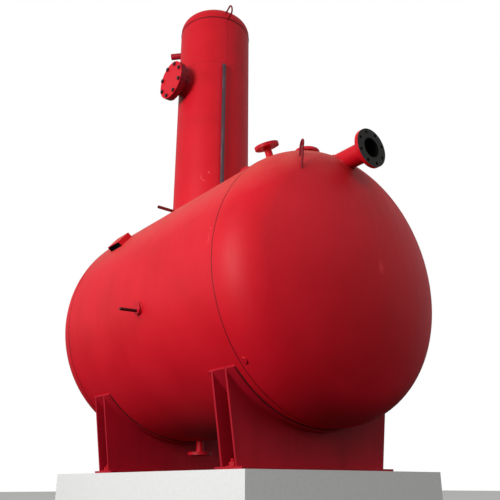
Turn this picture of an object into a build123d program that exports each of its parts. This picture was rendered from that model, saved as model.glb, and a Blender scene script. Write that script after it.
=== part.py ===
"""Deaerator: a horizontal feedwater tank on two saddles with a vertical deaerating column on top.

Millimetres. X runs along the tank, Z is up, the floor is Z = 0 and the origin is the centre
of the four anchor holes. The handhole and the thermowell are on the -Y side.
"""

import os
from math import atan2, cos, degrees, radians, sin, sqrt

from build123d import *

os.makedirs("parts", exist_ok=True)

# Tank, with two-arc dished ends: crown and knuckle radius over the outside diameter
tank_radius = 750
tank_wall = 10
shell_length = 1600
floor_gap = 200
crown_ratio = 0.9
knuckle_ratio = 0.172
head_flange = 5

# Column
column_inset = 495
column_radius = 265
column_wall = 8
column_height = 1540
column_head_flange = 25

# Saddles
saddle_inset = 170
pad_thickness = 10
pad_wrap = 98
pad_back = 90
pad_width = 210
web_thickness = 12
web_spacing = 112
web_taper = 68.6
base_thickness = 16
base_margin = 15
anchor_inset = 40
anchor_hole_radius = 13

# Pipes and drilled flanges, by nominal bore
pipe_100_radius = 57.15
pipe_100_wall = 4
flange_100_radius = 110
flange_100_thickness = 22
bolt_circle_100 = 90
hole_100_radius = 9
pipe_40_radius = 24.15
pipe_40_wall = 3.2
flange_40_radius = 75
flange_40_thickness = 18
bolt_circle_40 = 55
hole_40_radius = 9
pipe_32_radius = 21.2
pipe_32_wall = 3.2
flange_32_radius = 70
flange_32_thickness = 18
bolt_circle_32 = 50
hole_32_radius = 9
pipe_150_radius = 84.15
pipe_150_wall = 4.5
flange_150_radius = 142.5
flange_150_thickness = 24
bolt_circle_150 = 120
hole_150_radius = 11
cover_thickness = 22
pipe_setback = 5
root_depth = 80

# Fittings on the tank
end_nozzle_drop = 81
end_nozzle_reach = 384
top_nozzle_inset = 108
top_nozzle_stand = 104
side_nozzle_angle = 22
side_nozzle_stand = 100
middle_nozzle_gap = 195
middle_nozzle_stand = 190
drain_inset = 450
drain_stand = 90
thermowell_inset = 689
boss_angle = 98.6
boss_radius = 36
boss_height = 16
thermowell_drop = 17
thermowell_angle = 93
thermowell_radius = 8.5
thermowell_stand = 114
plug_angle = 129.9
plug_tilt = 6
plug_radius = 16
plug_height = 5

# Fittings on the column
handhole_rise = 1004
handhole_offset = 12
handhole_stand = 110
vent_drop = 124
vent_angle = 222
vent_stand = 85
sampling_rise = 1112
sampling_angle = -20.5
sampling_radius = 13.45
sampling_wall = 2.3
sampling_gap = 12
sampling_bend = 32
foot_stub_drop = 26
foot_stub_stand = 158
foot_stub_radius = 10.5
foot_stub_wall = 2.5

# Lifting lugs of bent round bar
lug_bar_radius = 6
lug_half_width = 30
lug_inset = 97
lug_angle = 32.6
lug_height = 114.4
lug_turn = 151.5
lug_lean = 4.5
column_lug_angle = -15.4
column_lug_rise = 31
column_lug_stand = 92
column_lug_turn = 13.7

# Name-plate bracket of bent plate
bracket_inset = 320
bracket_angle = 51
bracket_length = 150
bracket_width = 102
bracket_stand = 34
bracket_plate = 4

axis_height = floor_gap + tank_radius
tank_top = axis_height + tank_radius
seam_x = shell_length / 2
tank_axis = Axis((0, 0, axis_height), (1, 0, 0))
column_x = column_inset - seam_x
column_seam = tank_top + column_height
end_nozzle_z = tank_top - end_nozzle_drop
end_nozzle_face = seam_x + end_nozzle_reach
top_nozzle_x = seam_x - top_nozzle_inset
top_nozzle_face = tank_top + top_nozzle_stand
middle_nozzle_x = column_x + column_radius + middle_nozzle_gap
middle_nozzle_face = tank_top + middle_nozzle_stand
drain_x = drain_inset - seam_x
drain_face = floor_gap - drain_stand
handhole_x = column_x - handhole_offset
handhole_z = tank_top + handhole_rise
handhole_face = column_radius + handhole_stand
sampling_out = column_radius + sampling_gap + sampling_radius
sampling_top = tank_top + sampling_rise
sampling_dir = Vector(cos(radians(sampling_angle)), sin(radians(sampling_angle)), 0)


def dish_arcs(radius, crown, knuckle):
    """Reach of the crown's centre behind the rim, the knuckle's turn and the height of the dish."""
    reach = sqrt((crown - knuckle) ** 2 - (radius - knuckle) ** 2)
    turn = degrees(atan2(radius - knuckle, reach))
    return reach, turn, crown - reach


def dished_solid(axis_origin, axis_dir, out_dir, radius, rim, foot, draw_in):
    """Round solid with a two-arc dished end, drawn in all over by a wall: straight from foot to
    rim along its axis, then knuckle and crown."""
    outside = 2 * radius
    radius = radius - draw_in
    crown = crown_ratio * outside - draw_in
    knuckle = knuckle_ratio * outside - draw_in
    reach, turn, height = dish_arcs(radius, crown, knuckle)
    section = Plane(origin=axis_origin, x_dir=axis_dir, z_dir=axis_dir.cross(out_dir))
    with BuildPart(mode=Mode.PRIVATE) as solid:
        with BuildSketch(section):
            with BuildLine():
                Polyline((rim + height, 0), (foot, 0), (foot, radius), (rim, radius))
                CenterArc((rim, radius - knuckle), knuckle, 90, turn - 90)
                CenterArc((rim - reach, 0), crown, turn, -turn)
            make_face()
        revolve(axis=Axis(axis_origin, axis_dir))
    return solid.part


def tank_end(draw_in):
    return dished_solid(
        Vector(0, 0, axis_height),
        Vector(1, 0, 0),
        Vector(0, 0, 1),
        tank_radius,
        seam_x + head_flange,
        seam_x - draw_in,
        draw_in,
    )


def column_solid(draw_in):
    return dished_solid(
        Vector(column_x, 0, 0),
        Vector(0, 0, 1),
        Vector(1, 0, 0),
        column_radius,
        column_seam + column_head_flange,
        axis_height,
        draw_in,
    )


def pipe_ring(radius, wall):
    """Cross-section of a pipe, on the open sketch."""
    Circle(radius)
    Circle(radius - wall, mode=Mode.SUBTRACT)


def flange_ring(radius, bore, bolt_circle, holes, hole_radius):
    """Outline of a drilled flange with its bolt holes off the centre lines, on the open sketch."""
    Circle(radius)
    if bore:
        Circle(bore, mode=Mode.SUBTRACT)
    with PolarLocations(bolt_circle, holes, start_angle=180 / holes):
        Circle(hole_radius, mode=Mode.SUBTRACT)


def radial_plane(x, angle):
    """Plane through the tank's axis whose normal leans from the top by an angle towards -Y."""
    lean = radians(angle)
    return Plane(origin=(x, 0, axis_height), x_dir=(1, 0, 0), z_dir=(0, -sin(lean), cos(lean)))


def lug_loop(plane, height):
    """U of round bar standing on the plane's X axis, its legs reaching below it by the root depth."""
    bend = height - lug_half_width
    with BuildPart(mode=Mode.PRIVATE) as loop:
        with BuildLine(plane):
            Line((-lug_half_width, -root_depth), (-lug_half_width, bend))
            CenterArc((0, bend), lug_half_width, 180, -180)
            Line((lug_half_width, bend), (lug_half_width, -root_depth))
        leg = plane.from_local_coords((-lug_half_width, -root_depth, 0))
        with BuildSketch(Plane(origin=leg, z_dir=plane.y_dir)):
            Circle(lug_bar_radius)
        sweep()
    return loop.part


head_outside = tank_end(0)
head_inside = tank_end(tank_wall)
column_outside = column_solid(0)
column_inside = column_solid(column_wall)

with BuildPart(mode=Mode.PRIVATE) as tank_solid:
    with BuildSketch(Plane.YZ.offset(-seam_x)):
        with Locations((0, axis_height)):
            Circle(tank_radius)
    extrude(amount=shell_length)
tank_outside = tank_solid.part

# Tank shell with its openings
side_plane = radial_plane(top_nozzle_x, side_nozzle_angle)
with BuildPart() as tank_shell:
    with BuildSketch(Plane.YZ.offset(-seam_x)):
        with Locations((0, axis_height)):
            pipe_ring(tank_radius, tank_wall)
    extrude(amount=shell_length)
    with BuildSketch(Plane.XY.offset(axis_height)):
        with Locations((column_x, 0)):
            Circle(column_radius - column_wall)
        with Locations((top_nozzle_x, 0), (middle_nozzle_x, 0)):
            Circle(pipe_40_radius - pipe_40_wall)
    extrude(amount=tank_radius, mode=Mode.SUBTRACT)
    with BuildSketch(Plane.XY.offset(axis_height)):
        with Locations((drain_x, 0)):
            Circle(pipe_40_radius - pipe_40_wall)
    extrude(amount=-tank_radius, mode=Mode.SUBTRACT)
    with BuildSketch(Plane.XY.offset(axis_height)):
        with Locations((column_x + sampling_out * sampling_dir.X, sampling_out * sampling_dir.Y)):
            Circle(sampling_radius - sampling_wall)
    extrude(amount=tank_radius, mode=Mode.SUBTRACT)
    with BuildSketch(side_plane):
        Circle(pipe_32_radius - pipe_32_wall)
    extrude(amount=tank_radius, mode=Mode.SUBTRACT)
tank_shell.part.label = "tank_shell"
export_step(tank_shell.part, "parts/tank_shell.step")

# Dished ends
with BuildPart() as front_head:
    add(head_outside)
    add(head_inside, mode=Mode.SUBTRACT)
    with BuildSketch(Plane.YZ.offset(seam_x)):
        with Locations((0, end_nozzle_z)):
            Circle(pipe_100_radius - pipe_100_wall)
    extrude(amount=end_nozzle_reach, mode=Mode.SUBTRACT)
front_head.part.label = "front_head"
export_step(front_head.part, "parts/front_head.step")

with BuildPart() as rear_head:
    add(mirror(head_outside, about=Plane.YZ))
    add(mirror(head_inside, about=Plane.YZ), mode=Mode.SUBTRACT)
rear_head.part.label = "rear_head"
export_step(rear_head.part, "parts/rear_head.step")

# Column shell, cut to the tank at its foot
with BuildPart() as column_shell:
    with BuildSketch(Plane.XY.offset(axis_height)):
        with Locations((column_x, 0)):
            pipe_ring(column_radius, column_wall)
    extrude(amount=column_seam - axis_height)
    add(tank_outside, mode=Mode.SUBTRACT)
    with BuildSketch(Plane.XZ):
        with Locations((handhole_x, handhole_z)):
            Circle(pipe_150_radius - pipe_150_wall)
    extrude(amount=column_radius, mode=Mode.SUBTRACT)
    with BuildSketch(Plane(origin=(column_x, 0, sampling_top), z_dir=sampling_dir)):
        Circle(sampling_radius - sampling_wall)
    extrude(amount=column_radius, mode=Mode.SUBTRACT)
column_shell.part.label = "column_shell"
export_step(column_shell.part, "parts/column_shell.step")

with BuildPart() as column_head:
    add(column_outside)
    add(column_inside, mode=Mode.SUBTRACT)
    with BuildSketch(Plane.XY.offset(column_seam)):
        with Locations((column_x, 0)):
            Circle(2 * column_radius)
    extrude(amount=axis_height - column_seam, mode=Mode.SUBTRACT)
column_head.part.label = "column_head"
export_step(column_head.part, "parts/column_head.step")

# Handhole on the column
with BuildPart() as handhole_neck:
    with BuildSketch(Plane.XZ):
        with Locations((handhole_x, handhole_z)):
            pipe_ring(pipe_150_radius, pipe_150_wall)
    extrude(amount=handhole_face - cover_thickness - pipe_setback)
    add(column_outside, mode=Mode.SUBTRACT)
handhole_neck.part.label = "handhole_neck"
export_step(handhole_neck.part, "parts/handhole_neck.step")

with BuildPart() as handhole_flange:
    with BuildSketch(Plane.XZ.offset(handhole_face - cover_thickness - flange_150_thickness)):
        with Locations((handhole_x, handhole_z)):
            flange_ring(flange_150_radius, pipe_150_radius, bolt_circle_150, 8, hole_150_radius)
    extrude(amount=flange_150_thickness)
handhole_flange.part.label = "handhole_flange"
export_step(handhole_flange.part, "parts/handhole_flange.step")

with BuildPart() as handhole_cover:
    with BuildSketch(Plane.XZ.offset(handhole_face - cover_thickness)):
        with Locations((handhole_x, handhole_z)):
            flange_ring(flange_150_radius, 0, bolt_circle_150, 8, hole_150_radius)
    extrude(amount=cover_thickness)
handhole_cover.part.label = "handhole_cover"
export_step(handhole_cover.part, "parts/handhole_cover.step")

# Vent stub high on the column
vent_plane = Plane(
    origin=(column_x, 0, column_seam - vent_drop),
    x_dir=(0, 0, 1),
    z_dir=(cos(radians(vent_angle)), sin(radians(vent_angle)), 0),
)
with BuildPart() as vent_stub:
    with BuildSketch(vent_plane.offset(column_radius - root_depth)):
        pipe_ring(pipe_40_radius, pipe_40_wall)
    extrude(amount=root_depth + vent_stand)
    add(column_outside, mode=Mode.SUBTRACT)
vent_stub.part.label = "vent_stub"
export_step(vent_stub.part, "parts/vent_stub.step")

# Sampling pipe down the front of the column into the tank
sampling_plane = Plane(
    origin=(column_x, 0, 0), x_dir=sampling_dir, z_dir=sampling_dir.cross(Vector(0, 0, 1))
)
with BuildPart() as sampling_pipe:
    with BuildLine(sampling_plane):
        FilletPolyline(
            (column_radius - column_wall, sampling_top),
            (sampling_out, sampling_top),
            (sampling_out, tank_top - root_depth),
            radius=sampling_bend,
        )
    mouth = sampling_plane.from_local_coords((column_radius - column_wall, sampling_top, 0))
    with BuildSketch(Plane(origin=mouth, z_dir=sampling_dir)):
        pipe_ring(sampling_radius, sampling_wall)
    sweep()
    add(column_outside, mode=Mode.SUBTRACT)
    add(tank_outside, mode=Mode.SUBTRACT)
sampling_pipe.part.label = "sampling_pipe"
export_step(sampling_pipe.part, "parts/sampling_pipe.step")

# Small stub at the column foot
with BuildPart() as foot_stub:
    with BuildSketch(Plane.XZ):
        with Locations((column_x, tank_top - foot_stub_drop)):
            pipe_ring(foot_stub_radius, foot_stub_wall)
    extrude(amount=column_radius + foot_stub_stand)
    add(column_outside, mode=Mode.SUBTRACT)
    add(tank_outside, mode=Mode.SUBTRACT)
foot_stub.part.label = "foot_stub"
export_step(foot_stub.part, "parts/foot_stub.step")

# Flanged nozzle on the front head
with BuildPart() as end_nozzle_pipe:
    with BuildSketch(Plane.YZ.offset(seam_x)):
        with Locations((0, end_nozzle_z)):
            pipe_ring(pipe_100_radius, pipe_100_wall)
    extrude(amount=end_nozzle_reach - pipe_setback)
    add(head_outside, mode=Mode.SUBTRACT)
end_nozzle_pipe.part.label = "end_nozzle_pipe"
export_step(end_nozzle_pipe.part, "parts/end_nozzle_pipe.step")

with BuildPart() as end_nozzle_flange:
    with BuildSketch(Plane.YZ.offset(end_nozzle_face - flange_100_thickness)):
        with Locations((0, end_nozzle_z)):
            flange_ring(flange_100_radius, pipe_100_radius, bolt_circle_100, 8, hole_100_radius)
    extrude(amount=flange_100_thickness)
end_nozzle_flange.part.label = "end_nozzle_flange"
export_step(end_nozzle_flange.part, "parts/end_nozzle_flange.step")

# Flanged nozzles on the tank crown
with BuildPart() as top_nozzle_pipe:
    with BuildSketch(Plane.XY.offset(tank_top - root_depth)):
        with Locations((top_nozzle_x, 0)):
            pipe_ring(pipe_40_radius, pipe_40_wall)
    extrude(amount=root_depth + top_nozzle_stand - pipe_setback)
    add(tank_outside, mode=Mode.SUBTRACT)
top_nozzle_pipe.part.label = "top_nozzle_pipe"
export_step(top_nozzle_pipe.part, "parts/top_nozzle_pipe.step")

with BuildPart() as top_nozzle_flange:
    with BuildSketch(Plane.XY.offset(top_nozzle_face - flange_40_thickness)):
        with Locations((top_nozzle_x, 0)):
            flange_ring(flange_40_radius, pipe_40_radius, bolt_circle_40, 4, hole_40_radius)
    extrude(amount=flange_40_thickness)
top_nozzle_flange.part.label = "top_nozzle_flange"
export_step(top_nozzle_flange.part, "parts/top_nozzle_flange.step")

with BuildPart() as middle_nozzle_pipe:
    with BuildSketch(Plane.XY.offset(tank_top - root_depth)):
        with Locations((middle_nozzle_x, 0)):
            pipe_ring(pipe_40_radius, pipe_40_wall)
    extrude(amount=root_depth + middle_nozzle_stand - pipe_setback)
    add(tank_outside, mode=Mode.SUBTRACT)
middle_nozzle_pipe.part.label = "middle_nozzle_pipe"
export_step(middle_nozzle_pipe.part, "parts/middle_nozzle_pipe.step")

with BuildPart() as middle_nozzle_flange:
    with BuildSketch(Plane.XY.offset(middle_nozzle_face - flange_40_thickness)):
        with Locations((middle_nozzle_x, 0)):
            flange_ring(flange_40_radius, pipe_40_radius, bolt_circle_40, 4, hole_40_radius)
    extrude(amount=flange_40_thickness)
middle_nozzle_flange.part.label = "middle_nozzle_flange"
export_step(middle_nozzle_flange.part, "parts/middle_nozzle_flange.step")

with BuildPart() as side_nozzle_pipe:
    with BuildSketch(side_plane.offset(tank_radius - root_depth)):
        pipe_ring(pipe_32_radius, pipe_32_wall)
    extrude(amount=root_depth + side_nozzle_stand - pipe_setback)
    add(tank_outside, mode=Mode.SUBTRACT)
side_nozzle_pipe.part.label = "side_nozzle_pipe"
export_step(side_nozzle_pipe.part, "parts/side_nozzle_pipe.step")

with BuildPart() as side_nozzle_flange:
    with BuildSketch(side_plane.offset(tank_radius + side_nozzle_stand - flange_32_thickness)):
        flange_ring(flange_32_radius, pipe_32_radius, bolt_circle_32, 4, hole_32_radius)
    extrude(amount=flange_32_thickness)
side_nozzle_flange.part.label = "side_nozzle_flange"
export_step(side_nozzle_flange.part, "parts/side_nozzle_flange.step")

# Drain nozzle under the tank
with BuildPart() as drain_pipe:
    with BuildSketch(Plane.XY.offset(drain_face + pipe_setback)):
        with Locations((drain_x, 0)):
            pipe_ring(pipe_40_radius, pipe_40_wall)
    extrude(amount=drain_stand - pipe_setback + root_depth)
    add(tank_outside, mode=Mode.SUBTRACT)
drain_pipe.part.label = "drain_pipe"
export_step(drain_pipe.part, "parts/drain_pipe.step")

with BuildPart() as drain_flange:
    with BuildSketch(Plane.XY.offset(drain_face)):
        with Locations((drain_x, 0)):
            flange_ring(flange_40_radius, pipe_40_radius, bolt_circle_40, 4, hole_40_radius)
    extrude(amount=flange_40_thickness)
drain_flange.part.label = "drain_flange"
export_step(drain_flange.part, "parts/drain_flange.step")

# Thermowell in its boss on the long side, below the boss's middle
boss_plane = radial_plane(seam_x - thermowell_inset, boss_angle)
well_plane = Plane(
    origin=boss_plane.from_local_coords((0, -thermowell_drop, tank_radius)),
    x_dir=(1, 0, 0),
    z_dir=radial_plane(0, thermowell_angle).z_dir,
)
with BuildPart() as thermowell_boss:
    with BuildSketch(boss_plane.offset(tank_radius - root_depth)):
        Circle(boss_radius)
    extrude(amount=root_depth + boss_height)
    with BuildSketch(well_plane.offset(-root_depth)):
        Circle(thermowell_radius)
    extrude(amount=root_depth + thermowell_stand, mode=Mode.SUBTRACT)
    add(tank_outside, mode=Mode.SUBTRACT)
thermowell_boss.part.label = "thermowell_boss"
export_step(thermowell_boss.part, "parts/thermowell_boss.step")

with BuildPart() as thermowell:
    with BuildSketch(well_plane.offset(-root_depth)):
        Circle(thermowell_radius)
    extrude(amount=root_depth + thermowell_stand)
    add(tank_outside, mode=Mode.SUBTRACT)
thermowell.part.label = "thermowell"
export_step(thermowell.part, "parts/thermowell.step")

# Small plug on the front head's knuckle
knuckle = knuckle_ratio * 2 * tank_radius
plug_out = radial_plane(0, plug_angle).z_dir
plug_normal = plug_out * cos(radians(plug_tilt)) + Vector(1, 0, 0) * sin(radians(plug_tilt))
plug_base = Vector(seam_x + head_flange, 0, axis_height) + plug_out * (tank_radius - knuckle)
plug_plane = Plane(origin=plug_base, z_dir=plug_normal)
with BuildPart() as head_plug:
    with BuildSketch(plug_plane.offset(knuckle - root_depth)):
        Circle(plug_radius)
    extrude(amount=root_depth + plug_height)
    add(head_outside, mode=Mode.SUBTRACT)
    add(tank_outside, mode=Mode.SUBTRACT)
head_plug.part.label = "head_plug"
export_step(head_plug.part, "parts/head_plug.step")

# Name-plate bracket on the long side, open at its upper and lower ends
bracket_plane = radial_plane(bracket_inset - seam_x, bracket_angle)
with BuildPart() as nameplate_bracket:
    with BuildSketch(bracket_plane.offset(tank_radius - root_depth)):
        Rectangle(bracket_length, bracket_width)
        Rectangle(bracket_length - 2 * bracket_plate, bracket_width, mode=Mode.SUBTRACT)
    extrude(amount=root_depth + bracket_stand)
    with BuildSketch(bracket_plane.offset(tank_radius + bracket_stand - bracket_plate)):
        Rectangle(bracket_length, bracket_width)
    extrude(amount=bracket_plate)
    add(tank_outside, mode=Mode.SUBTRACT)
nameplate_bracket.part.label = "nameplate_bracket"
export_step(nameplate_bracket.part, "parts/nameplate_bracket.step")

# Lifting lugs on the heads, at opposite corners
lug_rho = tank_radius - lug_inset
lug_reach = sqrt(knuckle**2 - (lug_rho - tank_radius + knuckle) ** 2)
lug_x = seam_x + head_flange + lug_reach
lug_y = -lug_rho * sin(radians(lug_angle))
lug_foot = axis_height + lug_rho * cos(radians(lug_angle))
lug_side = Vector(cos(radians(lug_turn)), sin(radians(lug_turn)), 0)
lug_out = lug_side.cross(Vector(0, 0, 1))
front_lug_plane = Plane(
    origin=(lug_x, lug_y, lug_foot),
    x_dir=lug_side,
    z_dir=lug_out * cos(radians(lug_lean)) - Vector(0, 0, 1) * sin(radians(lug_lean)),
)
with BuildPart() as front_head_lug:
    add(lug_loop(front_lug_plane, lug_height))
    add(head_outside, mode=Mode.SUBTRACT)
front_head_lug.part.label = "front_head_lug"
export_step(front_head_lug.part, "parts/front_head_lug.step")

with BuildPart() as rear_head_lug:
    add(front_head_lug.part.rotate(Axis.Z, 180))
rear_head_lug.part.label = "rear_head_lug"
export_step(rear_head_lug.part, "parts/rear_head_lug.step")

# Lifting lugs on the column's top, across from each other
column_lug_dir = Vector(cos(radians(column_lug_angle)), sin(radians(column_lug_angle)), 0)
column_lug_side = Vector(0, 0, 1).rotate(Axis((0, 0, 0), column_lug_dir), column_lug_turn)
column_lug_plane = Plane(
    origin=Vector(column_x, 0, column_seam + column_lug_rise) + column_lug_dir * column_radius,
    x_dir=column_lug_side,
    z_dir=column_lug_side.cross(column_lug_dir),
)
with BuildPart() as column_front_lug:
    add(lug_loop(column_lug_plane, column_lug_stand))
    add(column_outside, mode=Mode.SUBTRACT)
column_front_lug.part.label = "column_front_lug"
export_step(column_front_lug.part, "parts/column_front_lug.step")

with BuildPart() as column_rear_lug:
    add(column_front_lug.part.rotate(Axis((column_x, 0, 0), (0, 0, 1)), 180))
column_rear_lug.part.label = "column_rear_lug"
export_step(column_rear_lug.part, "parts/column_rear_lug.step")

# Saddles: a wrapped pad, two tapered webs and a base plate each
pad_radius = tank_radius + pad_thickness
pad_end_y = pad_radius * sin(radians(pad_wrap / 2))
pad_end_z = axis_height - pad_radius * cos(radians(pad_wrap / 2))
web_foot = pad_end_y - web_taper
base_half = web_foot + base_margin
anchor_y = base_half - anchor_inset
for end, centre in (("front", seam_x - saddle_inset), ("rear", saddle_inset - seam_x)):
    with BuildPart() as saddle_pad:
        with BuildSketch(Plane.YZ.offset(centre - pad_back)):
            with Locations((0, axis_height)):
                pipe_ring(pad_radius, pad_thickness)
            with BuildLine():
                Polyline(
                    (0, axis_height),
                    (-2 * pad_end_y, 2 * pad_end_z - axis_height),
                    (2 * pad_end_y, 2 * pad_end_z - axis_height),
                    close=True,
                )
            make_face(mode=Mode.INTERSECT)
        extrude(amount=pad_width)
    saddle_pad.part.label = end + "_saddle_pad"
    export_step(saddle_pad.part, "parts/" + end + "_saddle_pad.step")

    for place, offset in (("inner", -web_spacing / 2), ("outer", web_spacing / 2)):
        with BuildPart() as saddle_web:
            with BuildSketch(Plane.YZ.offset(centre + offset - web_thickness / 2)):
                with BuildLine():
                    Polyline(
                        (-web_foot, base_thickness),
                        (web_foot, base_thickness),
                        (pad_end_y, pad_end_z),
                        (-pad_end_y, pad_end_z),
                        close=True,
                    )
                make_face()
                with Locations((0, axis_height)):
                    Circle(pad_radius, mode=Mode.SUBTRACT)
            extrude(amount=web_thickness)
        saddle_web.part.label = end + "_saddle_web_" + place
        export_step(saddle_web.part, "parts/" + end + "_saddle_web_" + place + ".step")

    with BuildPart() as saddle_base:
        with BuildSketch(Plane.XY):
            with Locations((centre - pad_back + pad_width / 2, 0)):
                Rectangle(pad_width, 2 * base_half)
            with Locations((centre, anchor_y), (centre, -anchor_y)):
                Circle(anchor_hole_radius, mode=Mode.SUBTRACT)
        extrude(amount=base_thickness)
    saddle_base.part.label = end + "_saddle_base"
    export_step(saddle_base.part, "parts/" + end + "_saddle_base.step")
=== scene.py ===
"""Looks of the deaerator: enamelled tank and column, welds, bolts, scuffs, floor, light and camera.

Metres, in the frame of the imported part: X along the tank, Z up, the saddles' feet at Z = 0.
"""

import math

import bmesh
import bpy
import numpy as np
from mathutils import Matrix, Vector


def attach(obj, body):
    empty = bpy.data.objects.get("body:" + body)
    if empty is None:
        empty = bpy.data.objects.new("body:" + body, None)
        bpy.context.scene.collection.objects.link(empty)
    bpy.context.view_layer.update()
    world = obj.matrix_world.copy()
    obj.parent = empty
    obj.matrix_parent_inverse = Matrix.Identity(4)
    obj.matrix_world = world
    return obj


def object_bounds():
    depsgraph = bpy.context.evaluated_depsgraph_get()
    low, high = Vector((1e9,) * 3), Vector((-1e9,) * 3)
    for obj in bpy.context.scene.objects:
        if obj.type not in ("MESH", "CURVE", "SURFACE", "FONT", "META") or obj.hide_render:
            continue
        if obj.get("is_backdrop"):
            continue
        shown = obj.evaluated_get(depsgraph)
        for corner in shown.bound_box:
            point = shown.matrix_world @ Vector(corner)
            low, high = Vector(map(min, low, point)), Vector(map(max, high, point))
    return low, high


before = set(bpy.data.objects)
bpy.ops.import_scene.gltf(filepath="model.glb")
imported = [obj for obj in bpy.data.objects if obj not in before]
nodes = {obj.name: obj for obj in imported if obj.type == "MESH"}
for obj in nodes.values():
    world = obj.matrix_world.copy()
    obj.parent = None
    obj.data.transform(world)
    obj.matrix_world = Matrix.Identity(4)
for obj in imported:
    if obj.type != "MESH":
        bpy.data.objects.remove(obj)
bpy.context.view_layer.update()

MM = 0.001
X_AXIS, Z_AXIS = (1.0, 0.0, 0.0), (0.0, 0.0, 1.0)

# Tank: its seams with the heads at X = +-SEAM_X, and the arcs of its ends as shares of a diameter
TANK_RADIUS = 0.750
AXIS_HEIGHT = 0.950
TANK_TOP = AXIS_HEIGHT + TANK_RADIUS
TANK_MIDDLE = (0.0, 0.0, AXIS_HEIGHT)
SEAM_X = 0.800
HEAD_FLANGE = 0.005
CROWN_RATIO = 0.9
KNUCKLE_RATIO = 0.172
TANK_PLATE_LEAN = math.radians(-63)

# Column: the heights of its seams, and the turns of the plate seams up its two courses
COLUMN_X = -0.305
COLUMN_RADIUS = 0.265
COLUMN_MIDDLE = (COLUMN_X, 0.0, 2.5)
COLUMN_SEAM = 3.240
COLUMN_HEAD_FLANGE = 0.025
COURSE_SEAM = 2.838
UPPER_PLATE_TURN, LOWER_PLATE_TURN = math.radians(-15.5), math.radians(105.0)

# Pipes by nominal size in mm, as outer radii and as radii of their bores
PIPE_32, PIPE_40, PIPE_100, PIPE_150 = 0.0212, 0.02415, 0.05715, 0.08415
PIPE_32_BORE, PIPE_40_BORE, PIPE_100_BORE = 0.0180, 0.02095, 0.05315
FLANGE_100_THICKNESS, SMALL_FLANGE_THICKNESS = 0.022, 0.018

# Nozzles and fittings: where they stand, and how far out their faces are
END_NOZZLE_Z = AXIS_HEIGHT + 0.669
END_NOZZLE_FACE = 1.184
# Radius round the end nozzle's axis within which its flange is painted black as shade, over the
# bore and bolt holes
END_NOZZLE_DARK = 0.1
TOP_NOZZLE_X, MIDDLE_NOZZLE_X, DRAIN_X = 0.692, 0.155, -0.350
TOP_NOZZLE_FACE, MIDDLE_NOZZLE_FACE, DRAIN_FACE = TANK_TOP + 0.104, TANK_TOP + 0.190, 0.110
SIDE_NOZZLE_LEAN = math.radians(22)
SIDE_NOZZLE_FACE = TANK_RADIUS + 0.100
HANDHOLE_X, HANDHOLE_Z, HANDHOLE_FACE = -0.317, TANK_TOP + 1.004, 0.375
COVER_THICKNESS, HANDHOLE_FLANGE_THICKNESS = 0.022, 0.024
HANDHOLE_BOLT_CIRCLE = 0.120
HANDHOLE_RIM = 0.1425
VENT_Z, VENT_TURN = TANK_TOP + 1.416, math.radians(222)
SAMPLING_TURN, SAMPLING_OUT, SAMPLING_RADIUS = math.radians(-20.5), 0.29045, 0.01345
SAMPLING_TOP = TANK_TOP + 1.112
FOOT_STUB_Z, FOOT_STUB_RADIUS = TANK_TOP - 0.026, 0.0105
BOSS_X, BOSS_LEAN, BOSS_RADIUS = 0.111, math.radians(98.6), 0.036
BRACKET_X, BRACKET_LEAN = -0.480, math.radians(51)
BRACKET_HALF_SIZES = (72 * MM, 52 * MM)

# Saddles: pads from PAD_BACK behind the saddle's middle, with webs a spacing apart
SADDLE_X, PAD_BACK, PAD_WIDTH, PAD_THICKNESS = 0.630, 0.090, 0.210, 0.010
PAD_WRAP = math.radians(98)
WEB_SPACING, WEB_THICKNESS, WEB_FOOT = 0.112, 0.012, 0.505
BASE_THICKNESS, ANCHOR_Y = 0.016, 0.480

# Making of the beads: their sides, how deep they go below a surface, how far they look for it
BEAD_SIDES, BEAD_DEPTH = 10, 1.5 * MM
SEARCH_REACH, SEARCH_STEPS = 0.45, 36


# ---- surfaces -------------------------------------------------------------------------------


def dish_height(radius, out):
    """Height of a two-arc dished end above its rim at distances from its axis: the circle of the
    knuckle outside the change of arcs, the circle of the crown inside it."""
    crown, knuckle = 2 * radius * CROWN_RATIO, 2 * radius * KNUCKLE_RATIO
    behind = math.sqrt((crown - knuckle) ** 2 - (radius - knuckle) ** 2)
    change = crown * (radius - knuckle) / (crown - knuckle)
    outer = np.sqrt(np.maximum(knuckle**2 - np.maximum(out - radius + knuckle, 0) ** 2, 0))
    inner = np.sqrt(np.maximum(crown**2 - out**2, 0)) - behind
    return np.where(out > change, outer, inner)


def in_tank(points):
    """True inside the tank: within its radius, and within its dished ends along X."""
    out = np.hypot(points[:, 1], points[:, 2] - AXIS_HEIGHT)
    end = SEAM_X + HEAD_FLANGE + dish_height(TANK_RADIUS, out)
    return (out < TANK_RADIUS) & (np.abs(points[:, 0]) < end)


def in_column(points):
    """True inside the column: within its radius, and below its dished top."""
    out = np.hypot(points[:, 0] - COLUMN_X, points[:, 1])
    top = COLUMN_SEAM + COLUMN_HEAD_FLANGE + dish_height(COLUMN_RADIUS, out)
    return (out < COLUMN_RADIUS) & (points[:, 2] < top) & (points[:, 2] > AXIS_HEIGHT)


def in_either(points):
    """True inside the tank or the column."""
    return in_tank(points) | in_column(points)


def landing(points, direction, inside):
    """Where straight lines from outside points first enter a solid, found by halving the way."""
    outer = points
    inner = points + SEARCH_REACH * np.asarray(direction)
    for _ in range(SEARCH_STEPS):
        middle = (outer + inner) / 2
        within = inside(middle)[:, None]
        inner = np.where(within, middle, inner)
        outer = np.where(within, outer, middle)
    return outer


def unit(vectors):
    """Vectors of length one along the given ones."""
    vectors = np.asarray(vectors, float)
    return vectors / np.linalg.norm(vectors, axis=-1, keepdims=True)


def across(axis):
    """Two unit vectors square to an axis and to each other."""
    axis = unit(axis)
    first = unit(np.cross((0.0, 0.0, 1.0) if abs(axis[2]) < 0.9 else (1.0, 0.0, 0.0), axis))
    return first, np.cross(axis, first)


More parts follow.
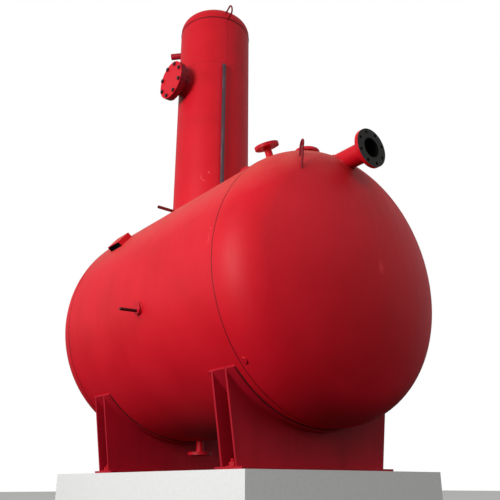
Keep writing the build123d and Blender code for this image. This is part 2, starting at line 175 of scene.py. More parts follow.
def circle(centre, axis, radius, step=0.004):
    """Points round a circle: centre + radius (cos t first + sin t second), about a step apart."""
    first, second = across(axis)
    count = max(24, int(2 * np.pi * radius / step))
    turn = np.linspace(0, 2 * np.pi, count, endpoint=False)[:, None]
    return np.asarray(centre) + radius * (np.cos(turn) * first + np.sin(turn) * second)


def line(start, end, step=0.004):
    """Points along a straight line, about a step apart."""
    start, end = np.asarray(start, float), np.asarray(end, float)
    share = np.linspace(0, 1, max(8, int(np.linalg.norm(end - start) / step)))[:, None]
    return start + share * (end - start)


def grid_faces(rows, columns, ring_rows=False):
    """Quads between neighbouring points of a grid whose columns close round, numbered by rows."""
    row = np.arange(rows if ring_rows else rows - 1)[:, None]
    column = np.arange(columns)[None, :]
    below, beside = (row + 1) % rows, (column + 1) % columns
    corners = (
        row * columns + column,
        row * columns + beside,
        below * columns + beside,
        below * columns + column,
    )
    return np.stack(corners, axis=-1).reshape(-1, 4)


def bead(path, outward, half_width, height, closed=True, pitch=0.010):
    """A weld bead: an oval carried along a path, its half width along the surface and its height
    along outward, both swelling a little once each pitch. Below the surface it is BEAD_DEPTH deep
    at most, to stay within a pipe's wall. An open bead shrinks to a point at its ends."""
    path = np.asarray(path)
    if closed:
        along = unit(np.roll(path, -1, axis=0) - np.roll(path, 1, axis=0))
    else:
        along = unit(np.gradient(path, axis=0))
    outward = np.broadcast_to(np.asarray(outward, float), path.shape)
    side = unit(np.cross(along, outward))
    outward = np.cross(side, along)
    gone = np.concatenate([[0], np.cumsum(np.linalg.norm(np.diff(path, axis=0), axis=1))])
    ripple = 0.10 * np.sin(2 * np.pi * gone / pitch)
    drift = 0.06 * np.sin(gone / 0.037 + 1.3)
    swell = 1 + ripple + drift
    if not closed:
        swell = swell * np.sqrt(np.maximum(1 - np.abs(2 * gone / gone[-1] - 1) ** 30, 0))
    turn = np.linspace(0, 2 * np.pi, BEAD_SIDES, endpoint=False)
    half_width = np.broadcast_to(half_width, len(path))[:, None, None]
    wide = np.cos(turn)[None, :, None] * side[:, None, :] * half_width
    rise = np.where(np.sin(turn) > 0, height, min(height, BEAD_DEPTH)) * np.sin(turn)
    tall = rise[None, :, None] * outward[:, None, :]
    points = path[:, None, :] + swell[:, None, None] * (wide + tall)
    return points.reshape(-1, 3), grid_faces(len(path), len(turn), closed)


def hexagon(flats, angle):
    """Distance from the middle to the outline of a hexagon at angles round it."""
    return flats / 2 / np.cos((angle + np.pi / 6) % (np.pi / 3) - np.pi / 6)


def fastener(flats, depth, stud, proud, washer=0.0, thread=0.0025):
    """A nut or bolt head standing on z = 0: rings round the axis, from the middle of the underside
    along a hexagonal side, a 30 degree chamfer where the side meets its cone, the flat top, and
    a stud end with a ridge each thread. Washer is the thickness of the ring below."""
    angle = np.linspace(0, 2 * np.pi, 48, endpoint=False)
    side = hexagon(flats, angle)
    round_top, washer_radius = 0.475 * flats, 0.95 * flats
    level = np.ones_like(angle)
    rings = [(0 * level, 0 * level)]
    if washer:
        rings += [(washer_radius * level, 0 * level), (washer_radius * level, washer * level)]
    low = washer * level
    rings += [(side, low), (side, low + depth - (side - round_top) * math.tan(math.pi / 6))]
    rings += [(round_top * level, low + depth)]
    top = washer + depth
    if proud:
        rings += [(stud * level, (top - 0.0005) * level)]
        for turn in range(int((proud - 0.002) / thread)):
            foot = top + thread * turn
            rings += [(stud * 0.93 * level, (foot + 0.3 * thread) * level)]
            rings += [(stud * level, (foot + 0.8 * thread) * level)]
        rings += [(stud * 0.85 * level, (top + proud) * level)]
        top += proud
    rings += [(0 * level, top * level)]
    reach = np.stack([ring[0] for ring in rings])
    rise = np.stack([ring[1] for ring in rings])
    points = np.stack([reach * np.cos(angle), reach * np.sin(angle), rise], axis=-1)
    return points.reshape(-1, 3), grid_faces(len(rings), len(angle))


def placed(shape, places, axis, spins):
    """Copies of a shape, its Z turned to an axis and spun about it, at each of many places."""
    points, faces = shape
    first, second = across(axis)
    spins = np.asarray(spins)[:, None]
    east = np.cos(spins) * first + np.sin(spins) * second
    north = np.cos(spins) * second - np.sin(spins) * first
    places = np.asarray(places, float)[:, None, :]
    copies = (
        places
        + points[None, :, 0:1] * east[:, None, :]
        + points[None, :, 1:2] * north[:, None, :]
        + points[None, :, 2:3] * unit(axis)
    )
    shift = len(points) * np.arange(len(copies))[:, None, None]
    return copies.reshape(-1, 3), (faces[None] + shift).reshape(-1, 4)


def piece(name, shapes, material):
    """One mesh piece of the part from shapes of points and faces, its doubled points merged."""
    starts = np.cumsum([0] + [len(points) for points, _ in shapes[:-1]])
    points = np.concatenate([points for points, _ in shapes])
    faces = np.concatenate([faces + start for (_, faces), start in zip(shapes, starts)])
    mesh = bpy.data.meshes.new(name)
    mesh.from_pydata(points.tolist(), [], faces.tolist())
    merged = bmesh.new()
    merged.from_mesh(mesh)
    bmesh.ops.remove_doubles(merged, verts=merged.verts, dist=0.01 * MM)
    bmesh.ops.recalc_face_normals(merged, faces=merged.faces)
    merged.to_mesh(mesh)
    merged.free()
    mesh.materials.append(material)
    mesh.shade_smooth()
    mesh.set_sharp_from_angle(angle=math.radians(40))
    made = bpy.data.objects.new(name, mesh)
    bpy.context.scene.collection.objects.link(made)
    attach(made, "root")


# ---- finishes -------------------------------------------------------------------------------


def linear(code):
    """An sRGB hex code as linear red, green, blue and alpha."""
    parts = np.array([int(code[i : i + 2], 16) for i in (0, 2, 4)]) / 255
    low = parts / 12.92
    high = ((parts + 0.055) / 1.055) ** 2.4
    return (*np.where(parts <= 0.04045, low, high).tolist(), 1.0)


def add(tree, kind, settings=None, inputs=None, output=0):
    """A shader node with its settings, its inputs set or linked by name or number; gives one of
    its outputs."""
    made = tree.nodes.new(kind)
    for name, value in (settings or {}).items():
        setattr(made, name, value)
    for name, value in (inputs or {}).items():
        if isinstance(value, bpy.types.NodeSocket):
            tree.links.new(value, made.inputs[name])
        else:
            made.inputs[name].default_value = value
    return made.outputs[output]


def ramp(tree, source, stops):
    """A colour ramp over a source, from (place, linear colour) stops."""
    made = tree.nodes.new("ShaderNodeValToRGB")
    tree.links.new(source, made.inputs["Fac"])
    band = made.color_ramp
    while len(band.elements) < len(stops):
        band.elements.new(0.5)
    for element, (place, colour) in zip(band.elements, stops):
        element.position = place
        element.color = colour
    return made.outputs["Color"]


def blend(tree, share, below, above):
    """One colour laid over another by a share."""
    return add(
        tree,
        "ShaderNodeMix",
        {"data_type": "RGBA"},
        {"Factor": share, 6: below, 7: above},
        output=2,
    )


def noise(tree, place, size, detail=3.0, stretch=None):
    """Cloudy noise whose patches are about a size in metres, drawn out along an axis by stretch."""
    if stretch:
        place = add(tree, "ShaderNodeMapping", {}, {"Vector": place, "Scale": stretch})
    return add(
        tree, "ShaderNodeTexNoise", {}, {"Vector": place, "Scale": 1 / size, "Detail": detail}
    )


def between(tree, value, low, high, to_low=0.0, to_high=1.0):
    """A value mapped from one range to another and held at its ends."""
    inputs = {"Value": value, "From Min": low, "From Max": high}
    return add(tree, "ShaderNodeMapRange", {}, {**inputs, "To Min": to_low, "To Max": to_high})


def offset(tree, place, origin):
    """The place measured from an origin."""
    return add(tree, "ShaderNodeVectorMath", {"operation": "SUBTRACT"}, {0: place, 1: origin})


def dot(tree, first, second):
    """The dot product of two vectors."""
    inputs = {0: first, 1: second}
    return add(tree, "ShaderNodeVectorMath", {"operation": "DOT_PRODUCT"}, inputs, output=1)


def product(tree, first, second):
    """The product of two values."""
    return add(tree, "ShaderNodeMath", {"operation": "MULTIPLY"}, {0: first, 1: second})


def near_axis(tree, place, origin, direction, radius):
    """One within a radius of the line through an origin along a direction, and zero outside: the
    length of the cross product of the offset and the direction is the distance."""
    across_line = add(
        tree,
        "ShaderNodeVectorMath",
        {"operation": "CROSS_PRODUCT"},
        {0: offset(tree, place, origin), 1: direction},
    )
    distance = add(
        tree, "ShaderNodeVectorMath", {"operation": "LENGTH"}, {0: across_line}, output=1
    )
    return between(tree, distance, radius + 0.6 * MM, radius + 0.2 * MM)


def beyond(tree, place, origin, direction):
    """One past the plane through an origin square to a direction, and zero before it."""
    ahead = dot(tree, offset(tree, place, origin), direction)
    return between(tree, ahead, -0.8 * MM, -0.4 * MM)


def turned_in(tree, place, middle):
    """One where a shell's surface faces back towards its middle, as its inside does, and zero
    outside: the surface's direction against the offset from the middle."""
    facing = add(tree, "ShaderNodeNewGeometry", output=1)
    outward = dot(tree, offset(tree, place, middle), facing)
    return between(tree, outward, 0.0, -2 * MM)


def under_patch(tree, place, origin, down, half_sizes):
    """One within a rectangle on the tank's side, given by half sizes along X and down the side."""
    moved = offset(tree, place, origin)
    share = 1.0
    for direction, half in zip((X_AXIS, down), half_sizes):
        size = add(
            tree, "ShaderNodeMath", {"operation": "ABSOLUTE"}, {0: dot(tree, moved, direction)}
        )
        share = product(tree, between(tree, size, half + 1 * MM, half), share)
    out = tuple(np.cross(down, X_AXIS).tolist())
    return product(tree, share, between(tree, dot(tree, moved, out), 0.5, 0.6))


def enamel(name, tones, rough, dust_and_sheen=0.0, grime=0.0, bore=None, face=None, hollow=None, shade_patch=None):
    """Semi-gloss alkyd enamel sprayed on rolled plate, from a base tone with darker and paler
    clouds. A fine peel and the plate's slow waves break up the reflections; a pale brown on what
    faces up is dust and also painted sheen of the sky, and grime runs down in streaks. Bore is an
    (origin, direction, radius) within which the coat is painted near-black as shade, face an
    (origin, direction, tone) past which the coat has another tone, hollow the middle of a shell
    whose inside is painted near-black as shade, and the last argument a patch painted
    near-black as the shade under the bracket."""
    base, dark, pale = (linear(tone) for tone in tones)
    material = bpy.data.materials.new(name)
    material.use_nodes = True
    tree = material.node_tree
    shader = tree.nodes["Principled BSDF"]
    place = add(tree, "ShaderNodeTexCoord", output=3)
    clouds = noise(tree, place, 320 * MM, 4.0)
    colour = ramp(tree, clouds, [(0.32, dark), (0.50, base), (0.70, pale)])
    streaks = noise(tree, place, 45 * MM, 3.0, stretch=(1.0, 1.0, 0.08))
    dull = between(tree, streaks, 0.35, 0.70, rough - 0.02, rough + 0.04)
    if grime:
        low = between(tree, streaks, 0.45, 0.75, 0.0, grime)
        colour = blend(tree, low, colour, linear(GRIME))
    # A pale brown on what faces up: dust, and also painted sheen of the sky on the tops
    if dust_and_sheen:
        facing = add(tree, "ShaderNodeNewGeometry", output=1)
        upward = add(tree, "ShaderNodeSeparateXYZ", {}, {"Vector": facing}, output=2)
        patchy = between(tree, noise(tree, place, 90 * MM, 5.0), 0.30, 0.65, 0.55, 1.0)
        dust_and_sheen_share = product(tree, between(tree, upward, 0.35, 0.95, 0.0, dust_and_sheen), patchy)
        colour = blend(tree, dust_and_sheen_share, colour, linear(DUST_AND_SHEEN))
        dull = add(
            tree, "ShaderNodeMath", {"operation": "MULTIPLY_ADD"}, {0: dust_and_sheen_share, 1: 0.6, 2: dull}
        )
    # Painted shade: near-black in bores, inside shells and on the patch under the bracket
    if bore:
        inside = near_axis(tree, place, *bore)
        colour = blend(tree, inside, colour, linear(SHADE_BLACK))
    if hollow:
        colour = blend(tree, turned_in(tree, place, hollow), colour, linear(SHADE_BLACK))
    if shade_patch:
        colour = blend(tree, under_patch(tree, place, *shade_patch), colour, linear(SHADE_BLACK))
    if face:
        origin, direction, tone = face
        colour = blend(tree, beyond(tree, place, origin, direction), colour, linear(tone))
    waves = noise(tree, place, 260 * MM, 1.0)
    bent = add(
        tree, "ShaderNodeBump", {}, {"Height": waves, "Strength": 0.25, "Distance": 2.5 * MM}
    )
    peel = noise(tree, place, 5 * MM, 2.0)
    relief = add(
        tree,
        "ShaderNodeBump",
        {},
        {"Height": peel, "Strength": 0.12, "Distance": 0.4 * MM, "Normal": bent},
    )
    tree.links.new(colour, shader.inputs["Base Color"])
    tree.links.new(dull, shader.inputs["Roughness"])
    tree.links.new(relief, shader.inputs["Normal"])
    shader.inputs["IOR"].default_value = 1.5
    shader.inputs["Specular IOR Level"].default_value = 0.18
    return material


def bare_steel(name, tones, rough, metallic, grain=(1.0, 1.0, 1.0)):
    """Mill-finished or blackened steel: a base tone with darker and paler scale in small patches,
    drawn out along the grain."""
    base, dark, pale = (linear(tone) for tone in tones)
    material = bpy.data.materials.new(name)
    material.use_nodes = True
    tree = material.node_tree
    shader = tree.nodes["Principled BSDF"]
    place = add(tree, "ShaderNodeTexCoord", output=3)
    scale = noise(tree, place, 14 * MM, 5.0, stretch=grain)
    colour = ramp(tree, scale, [(0.30, dark), (0.50, base), (0.72, pale)])
    relief = add(
        tree,
        "ShaderNodeBump",
        {},
        {"Height": noise(tree, place, 2 * MM), "Strength": 0.25, "Distance": 0.3 * MM},
    )
    dull = between(tree, scale, 0.3, 0.7, rough - 0.06, rough + 0.08)
    tree.links.new(colour, shader.inputs["Base Color"])
    tree.links.new(dull, shader.inputs["Roughness"])
    tree.links.new(relief, shader.inputs["Normal"])
    shader.inputs["Metallic"].default_value = metallic
    return material


def leaning(angle):
    """A direction out from the tank's axis, at an angle from the top towards -Y."""
    return (0.0, -math.sin(angle), math.cos(angle))


def level_out(turn):
    """A level direction out from the column's axis."""
    return (math.cos(turn), math.sin(turn), 0.0)


side_lean, boss_lean, bracket_out = map(leaning, (SIDE_NOZZLE_LEAN, BOSS_LEAN, BRACKET_LEAN))
bracket_down = (0.0, -bracket_out[2], bracket_out[1])
bracket_axis = np.array((BRACKET_X, 0.0, AXIS_HEIGHT))
bracket_middle = tuple((bracket_axis + (TANK_RADIUS + 10 * MM) * np.array(bracket_out)).tolist())
vent_out, sampling_out = level_out(VENT_TURN), level_out(SAMPLING_TURN)

# Tones as base, dark and pale
REDS = ("D41224", "CC0F20", "DA1628")
# Maroon, painted as shade on the handhole's edges
DARK_REDS = ("8C0C1E", "780A18", "A01024")
# The pale brown is dust and painted sheen on tops; the first near-black is painted shade in bores,
# in shells and under the bracket
DUST_AND_SHEEN, GRIME, SHADE_BLACK, FACE_BLACK = "D8A488", "5A1018", "1A1414", "262624"

# Tank, column and bracket: a broad soft highlight; pale brown on top, as dust and as painted
# sheen of the sky; painted shade as near-black inside them and on the tank under the bracket
tank_enamel = enamel(
    "red_enamel",
    REDS,
    0.50,
    dust_and_sheen=0.30,
    hollow=TANK_MIDDLE,
    shade_patch=(tuple(bracket_axis.tolist()), bracket_down, BRACKET_HALF_SIZES),
)
column_enamel = enamel("red_enamel_column", REDS, 0.50, dust_and_sheen=0.20, hollow=COLUMN_MIDDLE)
bracket_enamel = enamel("red_enamel_bracket", REDS, 0.48, dust_and_sheen=0.30, hollow=bracket_middle)
# Fittings a shade deeper than the shells; painted shade as maroon on the handhole's flange and
# neck, which turn from the light
fitting_enamel = enamel("red_enamel_fittings", ("C81226", "BE1022", "D0162A"), 0.44, dust_and_sheen=0.25)
shaded_edge_enamel = enamel("red_enamel_edges_painted_shade", DARK_REDS, 0.45)
# Painted shade: the cover's rim and back in maroon, its front face red
cover_enamel = enamel(
    "handhole_cover_enamel",
    DARK_REDS,
    0.48,
    face=((0.0, -HANDHOLE_FACE, 0.0), (0.0, -1.0, 0.0), REDS[2]),
)
# Painted shade: the vent stub's darker maroon reds, as it stands in shade
shaded_vent_enamel = enamel(
    "red_enamel_vent_painted_shade",
    ("A61028", "960C22", "B4142E"),
    0.44,
    dust_and_sheen=0.1,
    bore=((COLUMN_X, 0.0, VENT_Z), vent_out, PIPE_40_BORE),
)
# Saddles duller than the tank, with faint dark streaks; lugs a browner, older coat
saddle_enamel = enamel("red_enamel_saddles", ("B41226", "A80F22", "BE162A"), 0.48, grime=0.18)
lug_enamel = enamel("red_enamel_lugs", ("8A1422", "74101C", "A01C2A"), 0.45)
# Welds: seams as thin dark lines, for dirt caught along them and as painted shade of their
# grooves; plate seams almost lost in the coat, fillets a little deeper
seam_dirt_and_shade_enamel = enamel("red_enamel_seams_dirt_and_shade", ("7E0A18", "6A0814", "900E1C"), 0.52)
faint_enamel = enamel("red_enamel_plate_welds", ("C81024", "BE0E20", "CE1226"), 0.50)
weld_enamel = enamel("red_enamel_welds", ("C41224", "AC0E1E", "D01C2C"), 0.40)
# Scuffs: pale pink scratches that catch the light
scuffed = enamel("scuffed_enamel", ("E8505C", "E0404E", "F07078"), 0.55)
# The end nozzle: red outside; painted shade as black in the bore, at the pipe's end and over the
# flange's middle with its bolt holes; and a charcoal sealing face
end_origin = (SEAM_X, 0.0, END_NOZZLE_Z)
pipe_end = (END_NOZZLE_FACE - 18 * MM, 0.0, END_NOZZLE_Z)
end_pipe_enamel = enamel(
    "red_enamel_end_pipe",
    REDS,
    0.44,
    dust_and_sheen=0.2,
    bore=(end_origin, X_AXIS, PIPE_100_BORE),
    face=(pipe_end, X_AXIS, SHADE_BLACK),
)
end_flange_enamel = enamel(
    "red_enamel_end_flange",
    REDS,
    0.40,
    dust_and_sheen=0.2,
    bore=(end_origin, X_AXIS, END_NOZZLE_DARK),
    face=((END_NOZZLE_FACE, 0.0, END_NOZZLE_Z), X_AXIS, FACE_BLACK),
)
# Unpainted steel: grey-plum pipe with a long glint, rusty rods, near-black bolts; near-black
# painted shade in the gaps
grey_pipe = bare_steel(
    "grey_steel_pipe", ("553C46", "402E36", "70545E"), 0.38, 0.35, grain=(1.0, 1.0, 0.1)
)
dark_rod = bare_steel("brown_steel_rod", ("3A1614", "28100E", "52221C"), 0.48, 0.25)
# The foot stub in a dark red-brown, darker than the enamel round it
dark_red_brown = bare_steel("dark_red_brown_stub", ("7C1A1E", "60141A", "942226"), 0.45, 0.1)
black_bolts = bare_steel("black_bolts", ("341A20", "241216", "4A2C30"), 0.45, 0.4)
# Painted shade: near-black beads in the gaps along the pads' edges; also the handhole's dark gasket
gap_shade_and_gasket = bare_steel("crevice_shade_and_gasket", ("2A0A0E", "1E080A", "3C1014"), 0.70, 0.0)

coats = {name: saddle_enamel if "saddle" in name else fitting_enamel for name in nodes}
for material, names in (
    (tank_enamel, ("tank_shell", "front_head", "rear_head")),
    (column_enamel, ("column_shell", "column_head")),
    (bracket_enamel, ("nameplate_bracket",)),
    (shaded_edge_enamel, ("handhole_flange", "handhole_neck")),
    (cover_enamel, ("handhole_cover",)),
    (shaded_vent_enamel, ("vent_stub",)),
    (lug_enamel, ("front_head_lug", "rear_head_lug", "column_front_lug", "column_rear_lug")),
    (end_pipe_enamel, ("end_nozzle_pipe",)),
    (end_flange_enamel, ("end_nozzle_flange",)),
    (grey_pipe, ("sampling_pipe",)),
    (dark_red_brown, ("foot_stub",)),
    (dark_rod, ("thermowell",)),
):
    coats.update({name: material for name in names})
for name, origin, direction, bore in (
    ("top_nozzle", (TOP_NOZZLE_X, 0.0, TANK_TOP), Z_AXIS, PIPE_40_BORE),
    ("middle_nozzle", (MIDDLE_NOZZLE_X, 0.0, TANK_TOP), Z_AXIS, PIPE_40_BORE),
    ("drain", (DRAIN_X, 0.0, AXIS_HEIGHT), Z_AXIS, PIPE_40_BORE),
    ("side_nozzle", (TOP_NOZZLE_X, 0.0, AXIS_HEIGHT), side_lean, PIPE_32_BORE),
):
    coats[name + "_pipe"] = enamel(
        "red_enamel_" + name, REDS, 0.38, dust_and_sheen=0.25, bore=(origin, direction, bore)
    )
for name, material in coats.items():
    nodes[name].data.materials.clear()
    nodes[name].data.materials.append(material)

# ---- welds, bolts and scuffs ----------------------------------------------------------------

tank_ring = unit(circle((0.0, 0.0, 0.0), X_AXIS, TANK_RADIUS))
column_ring = unit(circle((0.0, 0.0, 0.0), Z_AXIS, COLUMN_RADIUS))
seam_welds = []
for end in (SEAM_X, -SEAM_X):
    path = circle((end, 0.0, AXIS_HEIGHT), X_AXIS, TANK_RADIUS)
    seam_welds.append(bead(path, tank_ring, 3.5 * MM, 1 * MM))
path = circle((COLUMN_X, 0.0, COLUMN_SEAM), Z_AXIS, COLUMN_RADIUS)
seam_welds.append(bead(path, column_ring, 5.5 * MM, 2.2 * MM))
piece("seam_welds", seam_welds, seam_dirt_and_shade_enamel)

path = circle((COLUMN_X, 0.0, COURSE_SEAM), Z_AXIS, COLUMN_RADIUS)
plate_welds = [bead(path, column_ring, 4 * MM, 0.6 * MM)]
for turn, low, high in (
    (UPPER_PLATE_TURN, COURSE_SEAM, COLUMN_SEAM),
    (LOWER_PLATE_TURN, TANK_TOP + 0.03, COURSE_SEAM),
):
    out = np.array(level_out(turn))
    foot = np.array((COLUMN_X, 0.0, 0.0)) + COLUMN_RADIUS * out
    path = line(foot + (0.0, 0.0, low), foot + (0.0, 0.0, high))
    plate_welds.append(bead(path, out, 4 * MM, 1.2 * MM, closed=False))
out = np.array(leaning(TANK_PLATE_LEAN))
foot = np.array(TANK_MIDDLE) + TANK_RADIUS * out
path = line(foot - (SEAM_X, 0.0, 0.0), foot + (SEAM_X, 0.0, 0.0))
plate_welds.append(bead(path, out, 5 * MM, 1.2 * MM, closed=False))
piece("plate_welds", plate_welds, faint_enamel)


def pipe_weld(centre, direction, radius, inside, leg):
    """A fillet round a pipe where it stands on a curved shell: the circle of the pipe, moved along
    the pipe until it meets the shell."""
    ring = circle(centre, direction, radius, step=0.003)
    path = landing(ring, -unit(direction), inside)
    return bead(path, ring - np.asarray(centre), leg, leg, pitch=0.008)


def flange_weld(centre, direction, radius):
    """A fillet round a pipe at the back of its flange."""
    ring = circle(centre, direction, radius, step=0.003)
    return bead(ring, ring - np.asarray(centre), 4.5 * MM, 4.5 * MM, pitch=0.008)


def off_axis(x, height, direction, reach):
    """The point at a reach from the axis at a place, along a direction."""
    return np.array((x, 0.0, height)) + reach * np.array(direction)


side_back_reach = SIDE_NOZZLE_FACE - SMALL_FLANGE_THICKNESS
neck_back = COVER_THICKNESS + HANDHOLE_FLANGE_THICKNESS
above_tank, beside_tank = TANK_TOP + 0.05, TANK_RADIUS + 0.05
side_start = off_axis(TOP_NOZZLE_X, AXIS_HEIGHT, side_lean, beside_tank)
boss_start = off_axis(BOSS_X, AXIS_HEIGHT, boss_lean, beside_tank)
nozzle_welds = [
    # Where the column, pipes and boss meet the shells, each circle starting clear of the shell
    pipe_weld((COLUMN_X, 0.0, above_tank), Z_AXIS, COLUMN_RADIUS, in_tank, 6 * MM),
    pipe_weld((1.15, 0.0, END_NOZZLE_Z), X_AXIS, PIPE_100, in_tank, 6 * MM),
    pipe_weld((TOP_NOZZLE_X, 0.0, above_tank), Z_AXIS, PIPE_40, in_tank, 5 * MM),
    pipe_weld((MIDDLE_NOZZLE_X, 0.0, above_tank), Z_AXIS, PIPE_40, in_tank, 5 * MM),
    pipe_weld(side_start, side_lean, PIPE_32, in_tank, 5 * MM),
    pipe_weld((DRAIN_X, 0.0, 0.15), (0.0, 0.0, -1.0), PIPE_40, in_tank, 5 * MM),
    pipe_weld(boss_start, boss_lean, BOSS_RADIUS, in_tank, 5 * MM),
    pipe_weld((HANDHOLE_X, -0.30, HANDHOLE_Z), (0.0, -1.0, 0.0), PIPE_150, in_column, 5 * MM),
    pipe_weld(off_axis(COLUMN_X, VENT_Z, vent_out, 0.32), vent_out, PIPE_40, in_column, 4 * MM),
    pipe_weld(
        off_axis(COLUMN_X, SAMPLING_TOP, sampling_out, 0.275),
        sampling_out,
        SAMPLING_RADIUS,
        in_column,
        4 * MM,
    ),
    pipe_weld(
        off_axis(COLUMN_X, TANK_TOP + 0.02, sampling_out, SAMPLING_OUT),
        Z_AXIS,
        SAMPLING_RADIUS,
        in_tank,
        4 * MM,
    ),
    pipe_weld(
        (COLUMN_X, -0.36, FOOT_STUB_Z), (0.0, -1.0, 0.0), FOOT_STUB_RADIUS, in_either, 4 * MM
    ),
    # Where the pipes meet the backs of their flanges
    flange_weld((END_NOZZLE_FACE - FLANGE_100_THICKNESS, 0.0, END_NOZZLE_Z), X_AXIS, PIPE_100),
    flange_weld((TOP_NOZZLE_X, 0.0, TOP_NOZZLE_FACE - SMALL_FLANGE_THICKNESS), Z_AXIS, PIPE_40),
    flange_weld(
        (MIDDLE_NOZZLE_X, 0.0, MIDDLE_NOZZLE_FACE - SMALL_FLANGE_THICKNESS), Z_AXIS, PIPE_40
    ),
    flange_weld(
        off_axis(TOP_NOZZLE_X, AXIS_HEIGHT, side_lean, side_back_reach), side_lean, PIPE_32
    ),
    flange_weld((DRAIN_X, 0.0, DRAIN_FACE + SMALL_FLANGE_THICKNESS), Z_AXIS, PIPE_40),
    flange_weld((HANDHOLE_X, neck_back - HANDHOLE_FACE, HANDHOLE_Z), (0.0, 1.0, 0.0), PIPE_150),
]
piece("nozzle_welds", nozzle_welds, weld_enamel)


def tank_point(x, lean, radius=TANK_RADIUS):
    """Points on the tank's side at places along it, at angles from the top towards -Y."""
    x, lean = np.broadcast_arrays(x, lean)
    return np.stack([x, -radius * np.sin(lean), AXIS_HEIGHT + radius * np.cos(lean)], axis=-1)


# Saddles: painted shade as dark beads in the gaps along the pads' curved edges, welds at their
# ends and along the webs
saddle_welds, pad_edge_shades = [], []
half_wrap = PAD_WRAP / 2
bottom = np.pi + np.linspace(-half_wrap, half_wrap, 330)
for centre in (SADDLE_X, -SADDLE_X):
    pad_start = centre - PAD_BACK
    pad_end = pad_start + PAD_WIDTH
    for edge in (pad_start, pad_end):
        path = tank_point(edge, bottom, TANK_RADIUS + 1 * MM)
        out = unit(path - tank_point(edge, bottom, 0.1))
        pad_edge_shades.append(bead(path, out, 3.4 * MM, 3.0 * MM, closed=False, pitch=0.2))
    for edge in (np.pi - half_wrap, np.pi + half_wrap):
        path = tank_point(np.linspace(pad_start, pad_end, 60), edge)
        out = unit(tank_point(0.0, edge, 1.0) - tank_point(0.0, edge, 0.5))
        saddle_welds.append(bead(path, out, 5 * MM, 5 * MM, closed=False, pitch=0.009))
    for web in (-1, 1):
        for side in (-1, 1):
            x = centre + web * WEB_SPACING / 2 + side * WEB_THICKNESS / 2
            path = tank_point(x, bottom[3:-3], TANK_RADIUS + PAD_THICKNESS)
            out = unit(path - tank_point(x, bottom[3:-3], 0.1))
            saddle_welds.append(bead(path, out, 4 * MM, 4 * MM, closed=False, pitch=0.009))
            path = line((x, -WEB_FOOT, BASE_THICKNESS), (x, WEB_FOOT, BASE_THICKNESS))
            saddle_welds.append(bead(path, Z_AXIS, 4 * MM, 4 * MM, closed=False, pitch=0.009))
piece("saddle_welds", saddle_welds, saddle_enamel)
piece("pad_edge_shade_lines", pad_edge_shades, gap_shade_and_gasket)

# The gasket between the handhole's cover and its flange, as a dark line round their rims
cover_back = np.array((HANDHOLE_X, COVER_THICKNESS - HANDHOLE_FACE, HANDHOLE_Z))
joint = circle(cover_back, (0.0, 1.0, 0.0), HANDHOLE_RIM)
gasket = bead(joint, joint - cover_back, 1.6 * MM, 0.7 * MM, pitch=0.3)
piece("handhole_gasket", [gasket], gap_shade_and_gasket)

# Handhole bolts, their nuts behind the flange, and the foundation nuts with bolt ends. Each nut
# is turned by chance, as fitters leave them
draw = np.random.default_rng(7)
turns = np.radians(22.5 + 45 * np.arange(8))
holes = np.stack(
    [
        HANDHOLE_X + HANDHOLE_BOLT_CIRCLE * np.cos(turns),
        0 * turns,
        HANDHOLE_Z + HANDHOLE_BOLT_CIRCLE * np.sin(turns),
    ],
    axis=-1,
)
head = fastener(27 * MM, 11 * MM, 9 * MM, 0.0)
nut = fastener(27 * MM, 14 * MM, 9 * MM, 7 * MM)
front_face = holes - (0.0, HANDHOLE_FACE, 0.0)
back_face = holes - (0.0, HANDHOLE_FACE - neck_back, 0.0)
spins = draw.uniform(0, math.pi / 3, 16)
piece(
    "handhole_bolts",
    [
        placed(head, front_face, (0.0, -1.0, 0.0), spins[:8]),
        placed(nut, back_face, (0.0, 1.0, 0.0), spins[8:]),
    ],
    black_bolts,
)
anchors = [(x, y, BASE_THICKNESS) for x in (-SADDLE_X, SADDLE_X) for y in (-ANCHOR_Y, ANCHOR_Y)]
anchor_nut = fastener(36 * MM, 19 * MM, 12 * MM, 14 * MM, washer=3.5 * MM, thread=0.003)
piece(
    "anchor_nuts",
    [placed(anchor_nut, anchors, Z_AXIS, draw.uniform(0, math.pi / 3, 4))],
    weld_enamel,
)


def scuff(path, outward, width):
    """A scuff of the enamel: a low ribbon along a path, widest in its middle and ragged."""
    share = np.linspace(0, 1, len(path))
    uneven = 1 + 0.3 * np.sin(share * 37) + 0.2 * np.sin(share * 91)
    ragged = np.sin(np.pi * share) ** 0.5 * uneven
    return bead(path, outward, width / 2 * np.maximum(ragged, 0.1), 0.3 * MM, closed=False)


def column_mark(first, last):
    """An arc of a mark on the column's side: angles round a small circle laid on the shell, and
    the way out from the shell there."""
    middle_turn, middle_height, half_width, half_height = math.radians(-43), 1.905, 0.034, 0.036
    angle = np.radians(np.linspace(first, last, 40))
    turn = middle_turn + half_width * np.cos(angle) / COLUMN_RADIUS
    out = np.stack([np.cos(turn), np.sin(turn), 0 * turn], axis=-1)
    level = middle_height + half_height * np.sin(angle)
    foot = np.stack([COLUMN_X + 0 * level, 0 * level, level], axis=-1)
    return foot + COLUMN_RADIUS * out, out


def tank_mark(x, first, last):
    """A line round the tank's side at a place along it, and the way out from the shell there."""
    lean = np.radians(np.linspace(first, last, 40))
    out = np.stack([0 * lean, -np.sin(lean), np.cos(lean)], axis=-1)
    return tank_point(x, lean), out


# Two arcs low on the column, a scratch high on the tank, and a chip and a scratch by its seam
marks = [
    scuff(*column_mark(150, 275), 3.0 * MM),
    scuff(*column_mark(70, 32), 6.0 * MM),
    scuff(*tank_mark(-0.092, 47.4, 55.2), 3.5 * MM),
    scuff(*tank_mark(0.768, 78.2, 79.2), 7.0 * MM),
    scuff(*tank_mark(0.762, 80.0, 85.0), 1.8 * MM),
]
piece("scuffs", marks, scuffed)

# ---- floor, light and camera ----------------------------------------------------------------


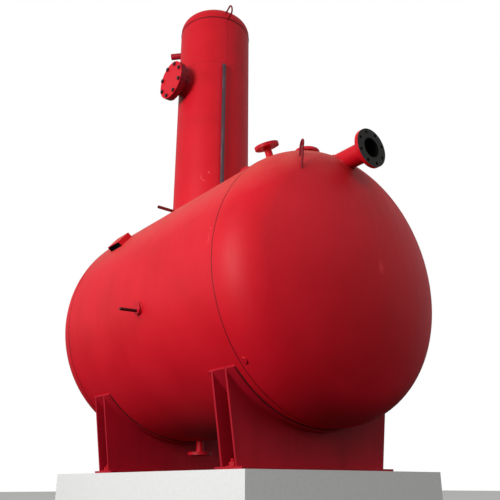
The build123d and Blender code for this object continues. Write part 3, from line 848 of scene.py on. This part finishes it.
def slab(name, low, high, material):
    """A plain block of the stage between two corners."""
    corner = np.array([[x, y, z] for x in (0, 1) for y in (0, 1) for z in (0, 1)], float)
    points = np.array(low) + corner * (np.array(high) - np.array(low))
    faces = [(0, 1, 3, 2), (4, 6, 7, 5), (0, 4, 5, 1), (2, 3, 7, 6), (0, 2, 6, 4), (1, 5, 7, 3)]
    mesh = bpy.data.meshes.new(name)
    mesh.from_pydata(points.tolist(), [], faces)
    mesh.materials.append(material)
    made = bpy.data.objects.new(name, mesh)
    bpy.context.scene.collection.objects.link(made)
    # Without the floor's bounce the tank's underside stays as dark as in the photo
    made.visible_diffuse = made.visible_glossy = False
    made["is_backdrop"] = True


# A pale matt floor, and a plinth because the photo was taken from below the level of the feet
pale = bare_steel("pale_floor", ("E6E6E4", "E2E2E0", "EAEAE8"), 0.8, 0.0)
slab("plinth", (-0.95, -0.66, -0.40), (0.95, 0.66, 0.0), pale)
slab("floor", (-30, -30, -0.50), (30, 30, -0.40), pale)

# The sky lights the part from above; the camera sees plain white behind it
SKY_LIGHT, GROUND_LIGHT = 0.54, 0.03
world = bpy.data.worlds.new("studio")
bpy.context.scene.world = world
world.use_nodes = True
sky = world.node_tree
ground_to_sky = add(
    sky,
    "ShaderNodeSeparateXYZ",
    {},
    {"Vector": add(sky, "ShaderNodeTexCoord")},
    output=2,
)
lit = sky.nodes["Background"]
lit.inputs["Color"].default_value = (1.0, 1.0, 1.0, 1.0)
sky.links.new(
    between(sky, ground_to_sky, -0.25, 0.35, GROUND_LIGHT, SKY_LIGHT), lit.inputs["Strength"]
)
seen = add(sky, "ShaderNodeBackground", {}, {"Color": (1.0, 1.0, 1.0, 1.0), "Strength": 1.0})
to_camera = add(sky, "ShaderNodeLightPath")
shown = add(sky, "ShaderNodeMixShader", {}, {0: to_camera, 1: lit.outputs[0], 2: seen})
sky.links.new(shown, sky.nodes["World Output"].inputs["Surface"])


LAMP_SIZE, LAMP_AIM = (3.0, 2.5), (0.0, 0.0, 1.4)


def lamp(name, place, power):
    """A soft rectangular studio light at a place, turned to the middle of the part."""
    data = bpy.data.lights.new(name, "AREA")
    data.shape = "RECTANGLE"
    data.size, data.size_y = LAMP_SIZE
    data.energy = power
    made = bpy.data.objects.new(name, data)
    bpy.context.scene.collection.objects.link(made)
    back = unit(np.array(place) - LAMP_AIM)
    side = unit(np.cross((0.0, 0.0, 1.0), back))
    turn = np.eye(4)
    turn[:3, 0], turn[:3, 1], turn[:3, 2], turn[:3, 3] = side, np.cross(back, side), back, place
    made.matrix_world = Matrix(turn.tolist())


# The bright band along the tank, a fill from the left, and a low light on the front head
lamp("side", (1.0, -6.5, 2.2), 330)
lamp("left", (-4.5, -6.0, 2.0), 36)
lamp("front", (6.0, -1.5, 5.0), 38)

# The camera fitted to the photo's outlines
camera = bpy.data.cameras.new("camera")
camera.sensor_width = 36.0
camera.lens = 45.575
camera.shift_x = -0.0152
camera.shift_y = -0.0017
camera.clip_end = 200.0
viewer = bpy.data.objects.new("camera", camera)
bpy.context.scene.collection.objects.link(viewer)
right = np.array((0.631978, 0.774986, -0.000836))
above = np.array((0.270210, -0.219337, 0.937485))
pose = np.eye(4)
pose[:3, 0], pose[:3, 1], pose[:3, 2] = right, above, np.cross(right, above)
pose[:3, 3] = (3.10074, -2.34773, -0.05914)
viewer.matrix_world = Matrix(pose.tolist())
bpy.context.scene.camera = viewer
bpy.context.scene.view_settings.view_transform = "Standard"

low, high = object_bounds()
